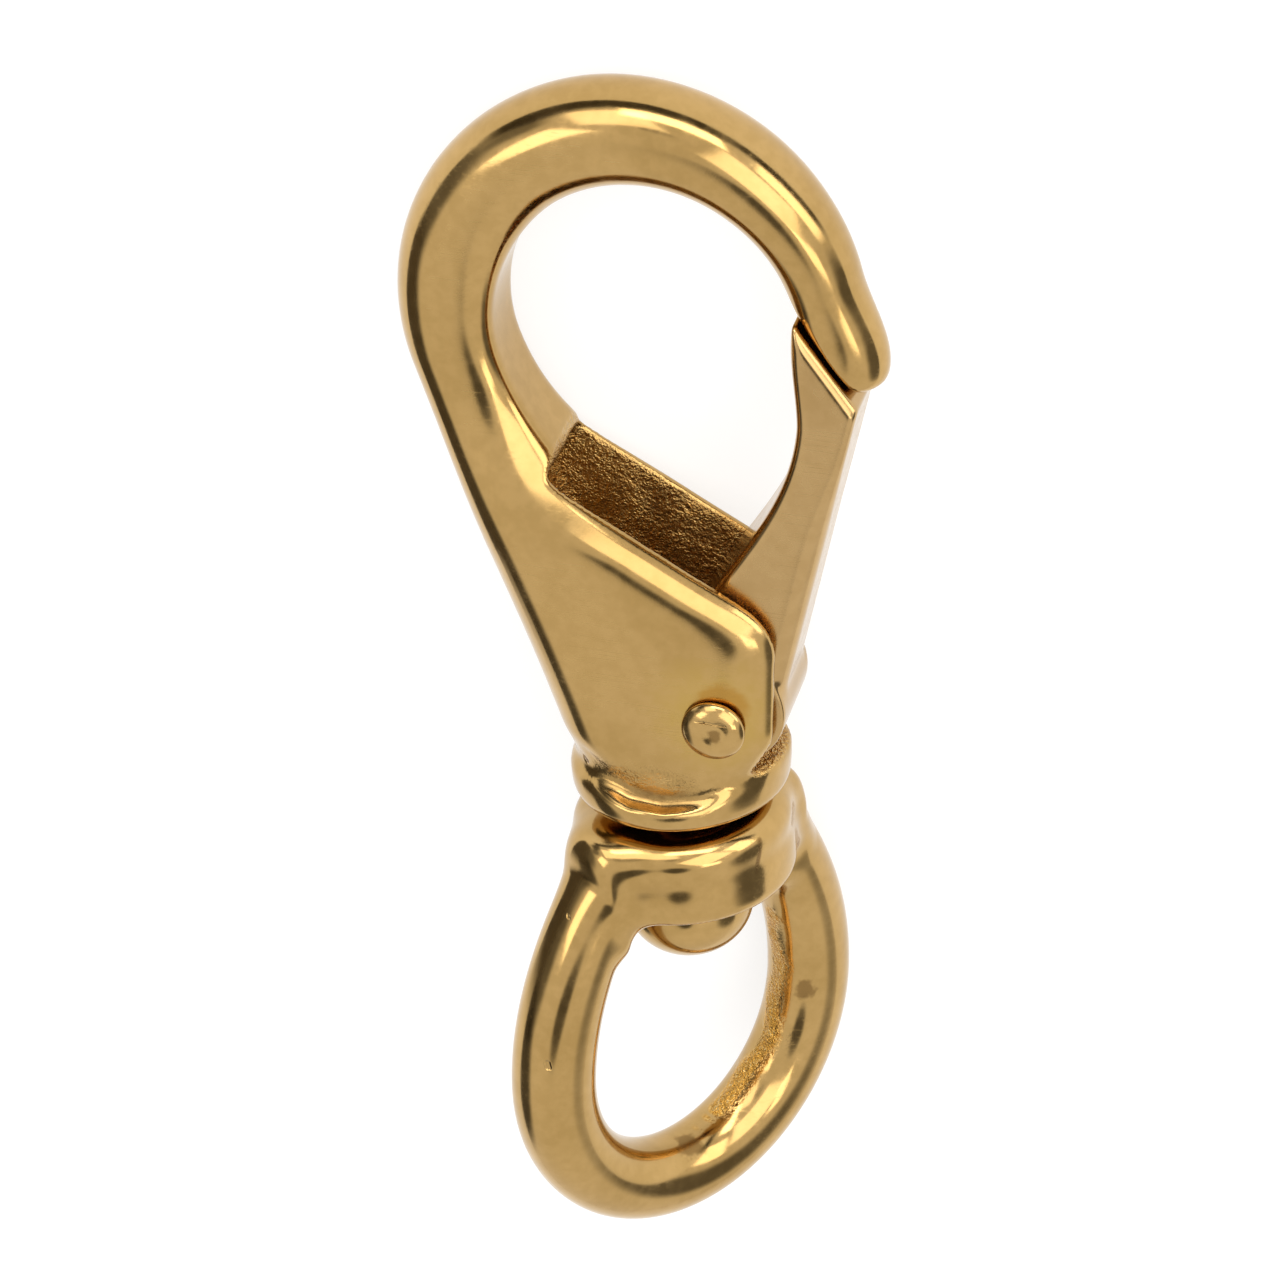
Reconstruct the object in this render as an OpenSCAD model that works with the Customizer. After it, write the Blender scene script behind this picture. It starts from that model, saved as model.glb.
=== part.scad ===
// Swivel snap hook, cast in bronze, lying on its back with its swivel eye turned.
// Modelled in its own frame: X across the hook, Y up from the middle of the collar, Z out of the front.
// The whole part is then set down on the three points that it rests on.

/* [Loop] */
// Radius of the loop's outer edge
loop_outer_r = 16.8; // [15.5:0.1:18.5]
// Radius of the loop's inner edge
loop_inner_r = 10.3; // [9:0.1:11]
// Height of the loop's outer centre above the collar's foot
loop_height = 38.0; // [36:0.5:42]
// Sideways place of the loop's outer centre
loop_side = -3.2; // [-4.5:0.1:-2]
// Sideways step from the outer centre to the inner one
bowl_side_step = 0.75; // [0.2:0.05:1.2]
// Step down from the outer centre to the inner one
bowl_drop = 0.85; // [0.3:0.05:1.5]
// Thickness of the bar over the loop, front to back
loop_thick = 7.3; // [6.4:0.1:8]
// Thickness of the bar at the nose, front to back
nose_thick = 5.6; // [4.8:0.1:6.4]
// How far the loop's outer edge draws in towards the nose
nose_slim = 0.8; // [0:0.05:1.2]
// How far the nose flares out again at its tip
nose_flare = 1.75; // [0:0.05:2]

/* [Body] */
// Thickness over the two cheeks
body_thick = 12.6; // [12:0.1:14]
// Width of the channel between the cheeks
channel_w = 8.2; // [7.4:0.1:8.8]
// How far the long left side bows in above the collar
side_bow = 0.8; // [0:0.1:1.2]
// Metal between the channel and the long left side
spine_web = 4.2; // [3:0.1:5.2]
// Height of the channel's floor above the collar's foot
channel_floor = 4.2; // [3.8:0.1:4.4]
// Distance from the middle of the collar to the right side of the body
right_side = 8.35; // [8.2:0.05:8.8]
// Height of the front corner of the cheeks
cheek_corner = 18.7; // [18:0.1:19.6]
// How far the rolled border of the cheeks reaches in
border_roll = 3.4; // [2.4:0.1:4]

/* [Collar and swivel] */
// Radius of the collar
collar_r = 7.8; // [7.4:0.1:8.2]
// Height of the collar's band
collar_h = 2.9; // [2.4:0.1:3.1]
// Radius of the swivel shank
shank_r = 2.7; // [2.3:0.1:3]
// Free play along the shank between collar and eye
swivel_play = 1.1; // [0.6:0.1:1.6]
// Clearance round the shank, which lets the eye tilt
swivel_clearance = 0.25; // [0.2:0.01:0.35]
// Radius of the button head
button_r = 4.8; // [4:0.1:5]
// Depth of the button head
button_h = 6.2; // [4.4:0.1:6.4]

/* [Gate] */
// Distance from the middle of the collar to the rivet of the gate
pivot_x = 3.9; // [3.6:0.05:4.1]
// Height of the gate's rivet above the collar's foot
pivot_y = 9.0; // [8.9:0.05:9.6]
// Radius of the gate's foot round the rivet
foot_r = 4.5; // [4:0.1:4.6]
// Thickness of the gate's foot
foot_thick = 7.8; // [7:0.05:7.9]
// Thickness of the gate at its tip
tip_thick = 6.6; // [6:0.1:7.4]
// Width of the gate half way up
gate_w = 3.9; // [3:0.1:4.4]
// Slope of the seat between gate and nose, from level
seat_slope = 52; // [48:0.5:56]
// Gap at the seat between gate and nose
seat_gap = 0.1; // [0.05:0.05:0.3]

/* [Rivet] */
// Diameter of the gate rivet
rivet_d = 3.2; // [2.6:0.1:3.6]
// Running clearance round the rivet in the gate
rivet_clearance = 0.05; // [0.03:0.01:0.1]
// Diameter of the rivet heads
head_d = 4.6; // [4.2:0.1:5.4]
// Height of the rivet heads
head_h = 1.2; // [0.8:0.1:1.6]

/* [Spring] */
// Wire diameter of the gate spring
wire_d = 0.8; // [0.6:0.05:0.9]
// Turns of the gate spring
spring_turns = 2; // [1:1:2]
// Clearance between the coil and the rivet
coil_clearance = 0.35; // [0.2:0.05:0.5]
// Width of the slot in the gate's foot that holds the coil
spring_slot = 3.6; // [3.4:0.1:4]

/* [Eye] */
// Width over the eye
eye_w = 30.2; // [28:0.2:34]
// Distance from the ring's top to the eye's lowest point
eye_h = 37.2; // [36:0.2:42]
// Thickness of the eye's bar
eye_bar = 6.2; // [5.6:0.1:6.6]
// Radius of the swivel ring
ring_r = 8.0; // [7.4:0.1:8.4]
// Height of the swivel ring
ring_h = 6.6; // [6:0.1:7.2]
// Turn of the eye about the swivel axis
eye_turn = 52; // [0:1:90]
// Tilt of the eye in its play on the shank
eye_tilt = 2.4; // [0:0.1:3]
// Set of the eye's loop against its ring
loop_set = -6.2; // [-8:0.1:8]

/* [Resting place] */
// Pitch of the part as it lies on the back of the loop and on the eye
rest_pitch = -5.63; // [-12:0.01:0]
// Roll of the part as it lies
rest_roll = -6.36; // [-10:0.01:10]
// Sideways place of the swivel axis as it lies
rest_x = 2.410; // [-10:0.001:10]
// Place of the collar's foot along the part as it lies
rest_y = -8.146; // [-20:0.001:10]
// Height of the collar's foot above the surface as it lies
rest_lift = 9.701; // [4:0.001:20]

/* [Hidden] */
bronze = [0.72, 0.58, 0.33];
steel = [0.72, 0.72, 0.70];
quarter = 6;
fine = 64;
pivot = [pivot_x, pivot_y];

// Straight mix, easing step and small vector helpers.
function mix(a, b, t) = a + (b - a) * t;
function ease(t) = let (c = max(0, min(1, t))) c * c * (3 - 2 * c);
function polar(r, a) = [r * cos(a), r * sin(a)];
function bezier(a, b, c, d, t) =
    pow(1 - t, 3) * a + 3 * t * pow(1 - t, 2) * b + 3 * t * t * (1 - t) * c + pow(t, 3) * d;

// Quarter of a section's outline, centred on its corner arc.
function corner(cx, cz, rx, rz, from) =
    [for (k = [0 : quarter]) let (a = from + 90 * k / quarter) [cx + rx * cos(a), cz + rz * sin(a)]];

// Section between an outer and an inner point of the plan. Each side has its own corner: how far it
// reaches across the bar and how far through its thickness.
function section(outer, inner, t, ao, zo, ai, zi) =
    let (
        half = norm(outer - inner) / 2,
        mid = (outer + inner) / 2,
        along = (outer - inner) / (2 * half),
        ro = min(ao, 0.97 * half),
        ri = min(ai, 0.97 * half),
        ho = min(zo, 0.97 * t),
        hi = min(zi, 0.97 * t),
        flat = concat(
            corner(half - ro, t - ho, ro, ho, 0),
            corner(ri - half, t - hi, ri, hi, 90),
            corner(ri - half, hi - t, ri, hi, 180),
            corner(half - ro, ho - t, ro, ho, 270)
        )
    )
    [for (p = flat) [mid[0] + along[0] * p[0], mid[1] + along[1] * p[0], p[1]]];

// Solid through a row of sections, closed by flat ends or back onto its first section.
module loft(rings, closed = false) {
    m = len(rings[0]);
    n = len(rings);
    last = closed ? n : n - 1;
    points = [for (ring = rings) each ring];
    sides = [
        for (i = [0 : last - 1])
            for (j = [0 : m - 1])
                [i * m + (j + 1) % m, ((i + 1) % n) * m + (j + 1) % m, ((i + 1) % n) * m + j, i * m + j]
    ];
    ends = closed ? [] : [[for (j = [m - 1 : -1 : 0]) j], [for (j = [0 : m - 1]) (n - 1) * m + j]];
    polyhedron(points, concat(sides, ends), convexity = 8);
}

// Plan of the loop: the outer and inner circles, with the flare of the nose.
loop_centre = [loop_side, loop_height];
bowl_centre = loop_centre + [bowl_side_step, -bowl_drop];
nose_end = -18.5;
loop_end = 200;
flare_reach = 26;
function loop_outer(a) =
    loop_centre + polar(loop_outer_r - nose_slim * ease((110 - a) / 80), a)
    + [nose_flare * (1 - ease((a - nose_end - 8) / flare_reach)), 0];
function loop_inner(a) = bowl_centre + polar(loop_inner_r, a);

// Sections of the loop, from the nose round to the left limb.
loop_steps = 26;
function nose_close(a) = 1 - 0.5 * pow(1 - ease((a - nose_end) / 9), 2);
function loop_section(a) =
    let (
        thin = ease((60 - a) / 60),
        flat = ease((a - 120) / 60),
        close = nose_close(a),
        outer = loop_outer(a),
        inner = loop_inner(a),
        drawn_in = mix(inner, outer, close),
        t = mix(mix(loop_thick, nose_thick, thin), limb_thick, flat) / 2 * close,
        half = norm(drawn_in - inner) / 2
    )
    section(
        drawn_in, inner, t,
        half, t,
        mix(half, limb_edge, flat), mix(t, limb_edge, flat)
    );
limb_thick = loop_thick + 0.5;
limb_edge = 1.3;

// Plan of the body: the straight long side, and the edge of the cheeks with the right side.
limb_round = 3.6;
side_round = 4.6;
corner_in = 3.2;
corner_down = 4.4;
toe_up = 2.6;
toe_in = 0.3;
limb_pull = 8;
border_pull = 9;
bend_pull = 1.9;
bend_fall = 2.2;
side_start = loop_outer(loop_end);
side_dir = [-sin(loop_end), cos(loop_end)];
collar_entry = 1.6;
side_len = (side_start[1] - collar_entry) / -side_dir[1];
side_in = [-side_dir[1], side_dir[0]];
function long_side(v) = side_start + side_dir * side_len * v + side_in * side_bow * ease(v / 0.8);

edge_start = loop_inner(loop_end);
cheek_slope = -29;
cheek_line = polar(1, cheek_slope);
cheek_end = [right_side - corner_in, cheek_corner];
side_top = [right_side, cheek_corner - corner_down];
side_foot = [right_side, channel_floor + toe_up];
foot_point = [collar_r - toe_in, collar_entry];
function cheek_edge(v) =
    v < 0.55 ? bezier(
        edge_start, edge_start + limb_pull * side_dir, cheek_end - border_pull * cheek_line, cheek_end,
        v / 0.55
    )
    : v < 0.7 ? bezier(
        cheek_end, cheek_end + bend_pull * cheek_line, side_top + [0, bend_fall], side_top,
        (v - 0.55) / 0.15
    )
    : v < 0.9 ? mix(side_top, side_foot, (v - 0.7) / 0.2)
    : mix(side_foot, foot_point, (v - 0.9) / 0.1);

// Sections of the body, from the left limb down to the collar.
body_steps = 24;
function body_section(v) =
    let (
        outer = long_side(v),
        inner = cheek_edge(v),
        swell = ease(v / 0.42),
        foot = ease((v - 0.8) / 0.2),
        t = mix(limb_thick, body_thick, swell) / 2,
        half = norm(outer - inner) / 2,
        ao = mix(mix(limb_round, side_round, swell), half, foot),
        ai = mix(mix(limb_edge, border_roll, ease(v / 0.3)), half, foot),
        zi = mix(mix(limb_edge, cheek_wall, ease(v / 0.3)), t, foot)
    )
    section(outer, inner, t, ao, t, ai, zi);
cheek_wall = (body_thick - channel_w) / 2;

casting = concat(
    [for (k = [0 : loop_steps - 1]) loop_section(mix(nose_end, loop_end, pow(k / loop_steps, 1.15)))],
    [for (k = [0 : body_steps]) body_section(k / body_steps)]
);

// Plan of the channel, open above the cheeks and through the right side.
function spine(v) = long_side(v) + side_in * spine_web;
channel_start = cheek_edge(0.18);
channel_end = 0.6;
floor_bend = 1.4;
floor_run = 3.2;
floor_rise = 0.5;
past = 14;
over_end = 3;
floor_start = [spine(0.84)[0] + floor_run, channel_floor];
channel_plan = concat(
    [channel_start + [0, channel_end], channel_start + [floor_rise / 5, -channel_end]],
    [for (v = [0.36 : 0.08 : 0.76]) spine(v)],
    [[spine(0.84)[0] + floor_bend, channel_floor + floor_rise], floor_start],
    [[past, channel_floor], [past, channel_start[1] + over_end], channel_start + [floor_run, over_end]]
);

// Line of the seat between the gate and the nose, in plan: a point on it and its direction.
seat_turn = -3;
seat_share = 0.389;
seat_point = mix(loop_inner(seat_turn), loop_outer(seat_turn), seat_share);
seat_normal = [sin(seat_slope), cos(seat_slope)];

// Block that reaches from the seat to one side of it, moved off the seat by the given gap.
seat_up = 6.1;
seat_down = 9.4;
seat_deep = 8;
module seat_block(gap, below) {
    translate([seat_point[0] + seat_normal[0] * gap, seat_point[1] + seat_normal[1] * gap, 0])
        rotate([0, 0, -seat_slope])
            translate([-seat_up, below ? -seat_deep : 0, -body_thick])
                cube([seat_up + seat_down, seat_deep, 2 * body_thick]);
}

// Round shapes about the swivel axis, drawn with the radius across and the depth downwards.
module about_swivel() {
    rotate([90, 0, 0])
        rotate_extrude($fn = fine)
            children();
}
function arc(cx, cy, rx, ry, from, to, steps) =
    [for (k = [0 : steps]) let (a = mix(from, to, k / steps)) [cx + rx * cos(a), cy + ry * sin(a)]];

rim = 1.3;
crown = 0.7;
eye_top = swivel_play;
ring_foot = eye_top + ring_h;
seat_play = 0.4;
button_top = ring_foot + seat_play;
button_edge = 0.9;
button_side = 1.9;

// Collar, shank and button head in one turned outline.
swivel_outline = concat(
    [[0, -collar_h]],
    arc(collar_r - crown, crown - collar_h, crown, crown, 270, 360, 4),
    arc(collar_r - rim, -rim, rim, rim, 0, 90, 6),
    [[shank_r, 0], [shank_r, button_top]],
    arc(button_r - button_edge, button_top + button_side, button_edge, button_side, 270, 360, 5),
    arc(0, button_top + button_side, button_r, button_h - button_side, 10, 90, 8)
);

// The swivel axis leans, so that a pull along it goes through the middle of the bowl.
swivel_lean = atan2(-bowl_centre[0], bowl_centre[1]);
module at_swivel() {
    rotate([0, 0, swivel_lean])
        children();
}

module hook_body() {
    color(bronze)
        difference() {
            union() {
                loft(casting);
                at_swivel()
                    about_swivel()
                        polygon(swivel_outline);
            }
            translate([0, 0, -channel_w / 2])
                linear_extrude(channel_w)
                    polygon(channel_plan);
            seat_block(seat_gap / 2, true);
            translate([pivot_x, pivot_y, -body_thick])
                cylinder(d = rivet_d, h = 2 * body_thick, $fn = fine);
        }
}

// Plan of the gate, set out between the rivet and the seat: a straight outer edge, and an inner edge
// that flares into the foot.
waist_back = 0.6;
waist_rise = 2.6;
swell_back = 1.5;
draw_out = 1;
foot_draw = 0.5;
bend_back = 2.85;
bend_rise = 0.67;
tip_back = 2.05;
tip_rise = 4.2;
waist = mix(pivot, seat_point, 0.81) - [waist_back, 0];
waist_outer = waist + [gate_w, 0];
outer_foot = pivot + [foot_r - foot_draw, 0];
gate_swell = mix(pivot, seat_point, 0.288) - [foot_r + swell_back, 0];
gate_draw = mix(pivot, seat_point, 0.486) + [draw_out, 0];
tip_bend = seat_point + [-bend_back, bend_rise];
tip_end = seat_point + [-tip_back, tip_rise];
function gate_outer(y) = [mix(outer_foot[0], waist_outer[0], (y - pivot_y) / (waist[1] - pivot_y)), y];
function gate_inner(v) =
    v < 0.75 ? bezier(pivot - [foot_r, 0], gate_swell, gate_draw, waist, v / 0.75)
    : bezier(waist, waist + [0, waist_rise], tip_bend, tip_end, (v - 0.75) / 0.25);

gate_steps = 20;
gate_edge = 0.9;
gate_back = 1.6;
tip_edge = 0.5;
outer_rise = 0.4;
function gate_section(v) =
    let (
        inner = gate_inner(v),
        rise = inner[1] + outer_rise * min(1, v / 0.2),
        t = mix(foot_thick, tip_thick, ease(v)) / 2,
        back = mix(gate_back, tip_edge, ease((v - 0.45) / 0.3))
    )
    section(gate_outer(rise), inner, t, back, back, gate_edge, gate_edge);

coil_r = rivet_d / 2 + coil_clearance + wire_d / 2;
coil_room = coil_r + wire_d / 2 + coil_clearance;
leg_room = 6.6;
leg_play = 0.1;

// Slot in the gate's foot for the coil and its upper leg, open towards the channel.
module spring_room() {
    translate([0, 0, -spring_slot / 2])
        linear_extrude(spring_slot)
            union() {
                translate(pivot)
                    circle(coil_room, $fn = fine);
                translate([pivot_x - past, pivot_y - past])
                    square([past, past + coil_room]);
                translate([pivot_x - past, pivot_y])
                    square([past + coil_r + wire_d / 2 + leg_play, leg_room]);
            }
}

module gate() {
    color(bronze)
        difference() {
            union() {
                loft([for (k = [0 : gate_steps]) gate_section(k / gate_steps)]);
                translate([pivot_x, pivot_y, -foot_thick / 2])
                    cylinder(r = foot_r, h = foot_thick, $fn = fine);
            }
            spring_room();
            seat_block(-seat_gap / 2, false);
            translate([pivot_x, pivot_y, -body_thick])
                cylinder(d = rivet_d + 2 * rivet_clearance, h = 2 * body_thick, $fn = fine);
        }
}

// Rivet with a low domed head on each side.
head_gap = 0.02;
head_side = 0.45;
rivet_half = concat(
    [[0, 0], [rivet_d / 2, 0], [rivet_d / 2, body_thick / 2 + head_gap]],
    [[head_d / 2, body_thick / 2 + head_gap]],
    [for (k = [0 : 6]) [
        head_d / 2 * cos(15 * k),
        body_thick / 2 + head_gap + head_side + (head_h - head_side) * sin(15 * k)
    ]]
);
module gate_rivet() {
    color(bronze)
        translate([pivot_x, pivot_y, 0])
            for (side = [0, 1])
                mirror([0, 0, side])
                    rotate_extrude($fn = fine)
                        polygon(rivet_half);
}

// Torsion spring: lower leg on the channel's floor, upper leg on the gate.
coil_pitch = wire_d + 0.15;
coil_sweep = 360 * spring_turns + 90;
coil_steps = 14 * spring_turns + 4;
wire_sides = 8;
function coil_z(a) = coil_pitch * (a / coil_sweep - 0.5) * coil_sweep / 360;
coil_path = [
    for (k = [0 : coil_steps]) let (a = coil_sweep * k / coil_steps)
        [pivot_x + coil_r * cos(a - 90), pivot_y + coil_r * sin(a - 90), coil_z(a)]
];
lower_end = [floor_start[0], channel_floor + wire_d / 2 + leg_play, coil_z(0)];
upper_end = [pivot_x + coil_r, pivot_y + leg_room - wire_d / 2 - leg_play, coil_z(coil_sweep)];
spring_path = concat([lower_end], coil_path, [upper_end]);
function unit(v) = v / norm(v);
function wire_ring(i) =
    let (
        n = len(spring_path) - 1,
        way = unit(spring_path[min(n, i + 1)] - spring_path[max(0, i - 1)]),
        side = unit(cross(way, [0, 0, 1])),
        up = cross(side, way)
    )
    [for (k = [0 : wire_sides - 1]) let (a = 360 * k / wire_sides)
        spring_path[i] + wire_d / 2 * (side * cos(a) + up * sin(a))];
module gate_spring() {
    color(steel)
        loft([for (i = [0 : len(spring_path) - 1]) wire_ring(i)]);
}

// Plan of the eye: half of its outer and inner edges, from the lowest point up to the swivel ring.
eye_low = eye_top + eye_h;
eye_wide = 21.5;
eye_in = eye_w / 2 - eye_bar;
eye_narrow = 0.019;
eye_narrow_in = 0.0195;
eye_corner = eye_top + 3.1;
eye_corner_in = ring_foot + 3.4;
shoulder_x = 8.2;
shoulder_rise = 2.6;
shoulder_in_x = 4.2;
shoulder_in_rise = 3.4;
bottom_steps = 8;
side_steps = 5;
corner_steps = 4;
eye_half = concat(
    [for (k = [0 : bottom_steps]) let (a = 90 * k / bottom_steps) [
        [eye_w / 2 * sin(a), -eye_wide - (eye_low - eye_wide) * cos(a)],
        [eye_in * sin(a), -eye_wide - (eye_low - eye_wide - eye_bar) * cos(a)]
    ]],
    [for (k = [1 : side_steps]) let (
        y = mix(eye_wide, eye_corner, k / side_steps),
        yi = mix(eye_wide, eye_corner_in, k / side_steps)
    ) [
        [eye_w / 2 - eye_narrow * pow(eye_wide - y, 2), -y],
        [eye_in - eye_narrow_in * pow(eye_wide - yi, 2), -yi]
    ]],
    [for (k = [1 : corner_steps]) let (a = 90 * k / corner_steps) [
        [mix(shoulder_x, eye_w / 2 - eye_narrow * pow(eye_wide - eye_corner, 2), cos(a)),
            -eye_corner + shoulder_rise * sin(a)],
        [mix(shoulder_in_x, eye_in - eye_narrow_in * pow(eye_wide - eye_corner_in, 2), cos(a)),
            -eye_corner_in + shoulder_in_rise * sin(a)]
    ]]
);
eye_count = len(eye_half);
function flip(p) = [-p[0], p[1]];
eye_pairs = concat(
    eye_half,
    [for (k = [eye_count - 1 : -1 : 1]) [flip(eye_half[k][0]), flip(eye_half[k][1])]]
);
function eye_section(pair) =
    let (half = norm(pair[0] - pair[1]) / 2, top = ease((pair[0][1] + 8) / 5))
    section(
        pair[0], pair[1], eye_bar / 2,
        mix(half, 1.6, top), mix(eye_bar / 2, 1.6, top),
        mix(half, 1.4, top), mix(eye_bar / 2, 1.4, top)
    );

ring_crown = 1.9;
ring_edge = 0.8;
ring_outline = concat(
    [[0, eye_top]],
    arc(ring_r - ring_crown, eye_top + ring_crown, ring_crown, ring_crown, 270, 360, 6),
    arc(ring_r - ring_edge, ring_foot - ring_edge, ring_edge, ring_edge, 0, 90, 4),
    [[0, ring_foot]]
);
// Turns about the middle of the ring, in the plane of the hook.
module about_ring(angle) {
    translate([0, -eye_top - ring_h / 2, 0])
        rotate([0, 0, angle])
            translate([0, eye_top + ring_h / 2, 0])
                children();
}

bore_past = 2.4;
module swivel_eye() {
    color(bronze)
        at_swivel()
            about_ring(eye_tilt)
                difference() {
                    union() {
                        about_ring(loop_set)
                            rotate([0, eye_turn, 0])
                                loft([for (pair = eye_pairs) eye_section(pair)], closed = true);
                        about_swivel()
                            polygon(ring_outline);
                    }
                    rotate([90, 0, 0])
                        cylinder(r = shank_r + swivel_clearance, h = ring_foot + bore_past, $fn = fine);
                }
}

// Lays the part down on the points it rests on.
module at_rest() {
    translate([rest_x, rest_y, rest_lift])
        rotate([rest_pitch, rest_roll, 0])
            children();
}

at_rest() hook_body();
at_rest() swivel_eye();
at_rest() gate();
at_rest() gate_rivet();
at_rest() gate_spring();
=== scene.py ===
"""Swivel snap hook, cast in bronze and polished, lying on a pale floor.

Each casting is modelled as a field of distances to its skin, in millimetres, in the hook's own
frame: X across the hook, Y up from the middle of the collar, Z out of the front face. Lofts and
turned shapes are joined with the soft fillets of a casting, and the skin is then taken from the
field. The spring is a wire swept along its path. Each mesh keeps its place in the hook's frame as
cast_place, which lets the materials place their marks. The studio has a white floor, soft boxes
and dark cards that only the metal reflects.
"""
import math

import bpy
import numpy as np
import openvdb as vdb
from mathutils import Matrix, Vector


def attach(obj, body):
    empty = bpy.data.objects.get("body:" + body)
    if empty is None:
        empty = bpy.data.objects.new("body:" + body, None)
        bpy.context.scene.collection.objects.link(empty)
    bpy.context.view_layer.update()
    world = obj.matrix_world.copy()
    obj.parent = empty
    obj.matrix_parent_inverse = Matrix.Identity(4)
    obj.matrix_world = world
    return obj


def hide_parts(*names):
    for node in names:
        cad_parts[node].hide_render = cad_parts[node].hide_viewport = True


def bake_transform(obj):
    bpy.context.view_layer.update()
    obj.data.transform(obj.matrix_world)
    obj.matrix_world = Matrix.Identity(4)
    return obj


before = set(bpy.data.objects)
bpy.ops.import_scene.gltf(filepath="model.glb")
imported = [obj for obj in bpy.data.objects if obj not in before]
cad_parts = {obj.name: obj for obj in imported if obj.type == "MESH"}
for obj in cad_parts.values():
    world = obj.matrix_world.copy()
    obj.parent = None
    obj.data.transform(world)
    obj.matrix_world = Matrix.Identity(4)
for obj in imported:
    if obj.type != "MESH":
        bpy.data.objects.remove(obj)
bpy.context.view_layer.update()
MM = 0.001

# Resting place: the whole hook is pitched and rolled onto the points that it lies on.
REST_PITCH = -5.63
REST_ROLL = -6.36
REST_PLACE = (2.41, -8.146, 9.701)

# How far a casting's skin lies inside its solid, and a length too short to divide by.
SKIN_IN = 0.035
TINY = 1e-12

# Loop and body of the hook.
LOOP_OUTER_R = 16.8
LOOP_INNER_R = 10.3
LOOP_CENTRE = (-3.2, 38.0)
BOWL_CENTRE = (-2.45, 37.15)
LOOP_THICK = 7.3
NOSE_THICK = 5.6
NOSE_SLIM = 0.8
SLIM_START = 110.0
SLIM_REACH = 80.0
NOSE_FLARE = 1.75
FLARE_START = 8.0
FLARE_REACH = 26.0
NOSE_END = -18.5
LOOP_END = 200.0
LIMB_THICK = LOOP_THICK + 0.5
LIMB_ROLL = 2.5
LIMB_DROP = 1.6
BODY_THICK = 12.6
CHANNEL_W = 8.2
SIDE_BOW = 0.8
SPINE_WEB = 4.2
CHANNEL_FLOOR = 4.2
RIGHT_SIDE = 8.35
CHEEK_CORNER = 18.7
CHEEK_SLOPE = -29.0
CORNER_IN = 3.2
CORNER_DOWN = 4.4
TOE_UP = 2.6
TOE_IN = 0.3
LIMB_ROUND = 3.6
SIDE_ROUND = 4.6
BORDER_ROLL = 5.0
BORDER_DROP = 3.0
COLLAR_ENTRY = 1.6
CHANNEL_PAST = 14.0
CHANNEL_START = 0.18
CHANNEL_END = 0.6
FLOOR_BEND = 1.4
FLOOR_RUN = 3.2
FLOOR_RISE = 0.5
OVER_END = 3.0

# Collar, shank and button head.
COLLAR_R = 7.8
COLLAR_H = 2.9
SHANK_R = 2.7
SWIVEL_PLAY = 1.1
SWIVEL_CLEARANCE = 0.25
SEAT_PLAY = 0.4
BUTTON_R = 4.8
BUTTON_H = 6.2
BUTTON_SIDE = 1.9
SWIVEL_LEAN = math.degrees(math.atan2(-BOWL_CENTRE[0], BOWL_CENTRE[1]))

# Gate, rivet and spring.
PIVOT = (3.9, 9.0)
FOOT_R = 4.5
FOOT_THICK = 7.8
TIP_THICK = 6.6
GATE_W = 3.9
FOOT_DRAW = 0.5
WAIST_BACK = 0.6
WAIST_RISE = 2.6
SWELL_BACK = 1.5
DRAW_OUT = 1.0
BEND_BACK = 2.85
BEND_RISE = 0.67
TIP_BACK = 2.05
TIP_RISE = 4.2
OUTER_RISE = 0.4
TIP_BEVEL = 0.45
SEAT_SLOPE = 52.0
SEAT_GAP = 0.1
SEAT_TURN = -3.0
SEAT_SHARE = 0.389
SEAT_DEEP = 8.0
RIVET_D = 3.2
RIVET_CLEARANCE = 0.05
HEAD_D = 4.6
HEAD_H = 1.2
WIRE_D = 0.8
SPRING_TURNS = 2
COIL_CLEARANCE = 0.35
COIL_PITCH = WIRE_D + 0.15
COIL_R = RIVET_D / 2 + COIL_CLEARANCE + WIRE_D / 2
LEG_ROOM = 6.6
LEG_PLAY = 0.1
SPRING_SLOT = 3.6

# Swivel eye.
EYE_W = 30.2
EYE_H = 37.2
EYE_BAR = 6.2
RING_R = 8.0
RING_H = 6.6
EYE_TURN = 52.0
EYE_TILT = 2.4
LOOP_SET = -6.2
EYE_WIDE = 21.5
EYE_TOP = SWIVEL_PLAY
RING_FOOT = EYE_TOP + RING_H
RING_MIDDLE = EYE_TOP + RING_H / 2


def mix(a, b, t):
    return a + (b - a) * t


def ease(t):
    c = np.clip(t, 0.0, 1.0)
    return c * c * (3 - 2 * c)


def polar(radius, degrees):
    a = np.radians(degrees)
    return np.stack([radius * np.cos(a), radius * np.sin(a)], axis=-1)


def bezier(a, b, c, d, t):
    t = np.asarray(t)[:, None]
    a, b, c, d = (np.array(p) for p in (a, b, c, d))
    return (1 - t) ** 3 * a + 3 * t * (1 - t) ** 2 * b + 3 * t * t * (1 - t) * c + t ** 3 * d


def turn_about(axis, degrees):
    return np.array(Matrix.Rotation(math.radians(degrees), 3, axis))


def fine(full, quick):
    return full


# Sections and lofts.

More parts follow.
